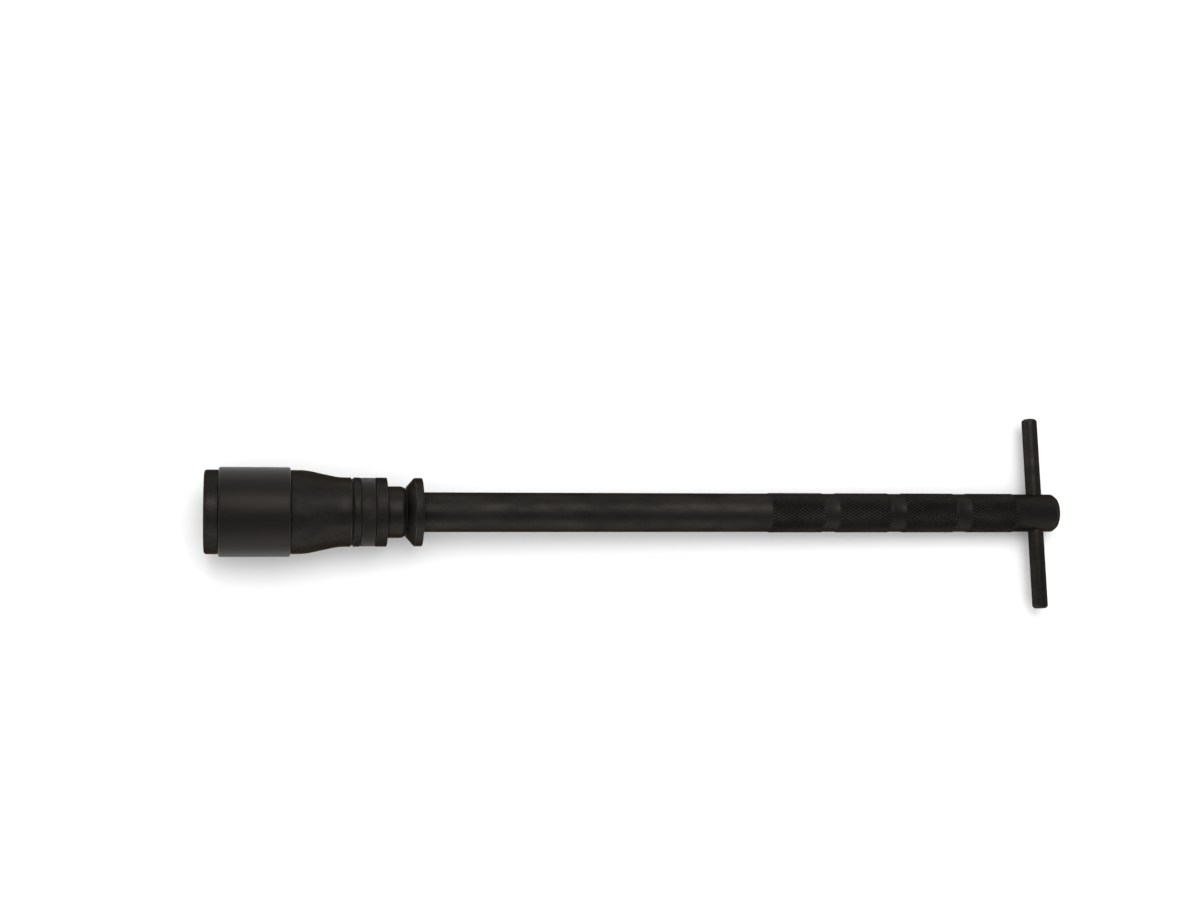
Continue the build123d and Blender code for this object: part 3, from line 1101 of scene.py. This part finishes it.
def add_floor(look):
    """Pale floor that the sleeve and the bar's end both touch."""
    bpy.ops.object.select_all(action="DESELECT")
    scene = bpy.context.scene
    sleeve_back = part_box("protective_sleeve")[1][0] - scene.socket_sizes.sleeve_rounding
    end_height = axis_height - scene.bar_sizes.shank / 2
    slope = math.atan2(end_height, bar_end - sleeve_back)
    bpy.ops.mesh.primitive_plane_add(
        size=look.floor_size, location=(sleeve_back, 0, 0), rotation=(0, -slope, 0)
    )
    floor = bpy.context.object
    floor.name = "floor"
    bpy.ops.object.transform_apply(location=True, rotation=True, scale=True)
    material, shader = start_material("floor", look.floor, 0.0, 0.8)
    shader.inputs["Specular IOR Level"].default_value = 0.2
    finish_piece(floor, material)


def add_lights(look):
    """A key light above and behind, a low fill in front, and a wash that whitens the whole floor."""
    lights = (
        ("key", (-0.05, 0.48, 1.3), 1.0, look.key_power),
        ("fill", (0.1, -1.35, 0.45), 0.9, look.fill_power),
    )
    for name, location, size, power in lights:
        bpy.ops.object.light_add(type="AREA", location=location)
        light = bpy.context.object
        light.name = name
        light.data.shape = "DISK"
        light.data.size = size
        light.data.energy = power
        direction = -light.location.normalized()
        light.rotation_euler = direction.to_track_quat("-Z", "Y").to_euler()
    bpy.ops.object.light_add(type="SUN", location=(0, 0, 2))
    wash = bpy.context.object
    wash.name = "wash"
    wash.data.energy = look.wash
    wash.data.angle = look.wash_spread
    wash.visible_glossy = False
    world = bpy.data.worlds.new("studio")
    world.use_nodes = True
    direction = add(world, "ShaderNodeTexCoord").outputs["Generated"]
    upward = add(world, "ShaderNodeSeparateXYZ", Vector=direction).outputs["Z"]
    strength = ramp(world, upward, 0.15, 0.75, look.horizon, look.sky)
    background = world.node_tree.nodes["Background"]
    background.inputs["Color"].default_value = (1, 1, 1, 1)
    world.node_tree.links.new(strength, background.inputs["Strength"])
    bpy.context.scene.world = world


def add_camera(look):
    """Camera above the tool, a little to the socket's side."""
    location = (-176.6 * mm, -101.2 * mm, axis_height + 797.6 * mm)
    turn = [math.radians(angle) for angle in (9.3, -10.82, -1.3)]
    bpy.ops.object.camera_add(location=location, rotation=turn)
    camera = bpy.context.object
    camera.name = "camera"
    camera.data.sensor_width = 36
    camera.data.lens = look.lens
    bpy.context.scene.camera = camera
    bpy.context.scene.view_settings.view_transform = "Standard"


class BREAKERBAR_PT_panel(bpy.types.Panel):
    bl_idname = "BREAKERBAR_PT_panel"
    bl_label = "Breaker bar"
    bl_space_type = "VIEW_3D"
    bl_region_type = "UI"
    bl_category = "Breaker bar"

    def draw(self, context):
        layout = self.layout
        for group in ("bar_sizes", "socket_sizes", "collar_sizes", "finishes", "stage_look"):
            values = getattr(context.scene, group)
            column = layout.column(align=True)
            for name in values.__annotations__:
                column.prop(values, name)
        for operator in operators:
            layout.operator(operator.bl_idname)


groups = {
    "bar_sizes": BarSizes,
    "socket_sizes": SocketSizes,
    "collar_sizes": CollarSizes,
    "finishes": Finishes,
    "stage_look": StageLook,
}
operators = (
    BREAKERBAR_OT_shank,
    BREAKERBAR_OT_drive,
    BREAKERBAR_OT_t_bar,
    BREAKERBAR_OT_socket,
    BREAKERBAR_OT_sleeve,
    BREAKERBAR_OT_ring,
    BREAKERBAR_OT_collar,
    BREAKERBAR_OT_spring,
    BREAKERBAR_OT_inner_parts,
    BREAKERBAR_OT_stage,
)


def register():
    for group in groups.values():
        bpy.utils.register_class(group)
    for name, group in groups.items():
        setattr(bpy.types.Scene, name, bpy.props.PointerProperty(type=group))
    for operator in operators:
        bpy.utils.register_class(operator)
    bpy.utils.register_class(BREAKERBAR_PT_panel)


def unregister():
    bpy.utils.unregister_class(BREAKERBAR_PT_panel)
    for operator in reversed(operators):
        bpy.utils.unregister_class(operator)
    for name, group in groups.items():
        delattr(bpy.types.Scene, name)
        bpy.utils.unregister_class(group)


def main():
    register()
    bpy.ops.breakerbar.shank()
    bpy.ops.breakerbar.drive()
    bpy.ops.breakerbar.t_bar()
    bpy.ops.breakerbar.socket()
    bpy.ops.breakerbar.sleeve()
    bpy.ops.breakerbar.ring()
    bpy.ops.breakerbar.collar()
    bpy.ops.breakerbar.spring()
    bpy.ops.breakerbar.inner_parts()
    bpy.ops.breakerbar.stage()


if __name__ == "__main__":
    main()
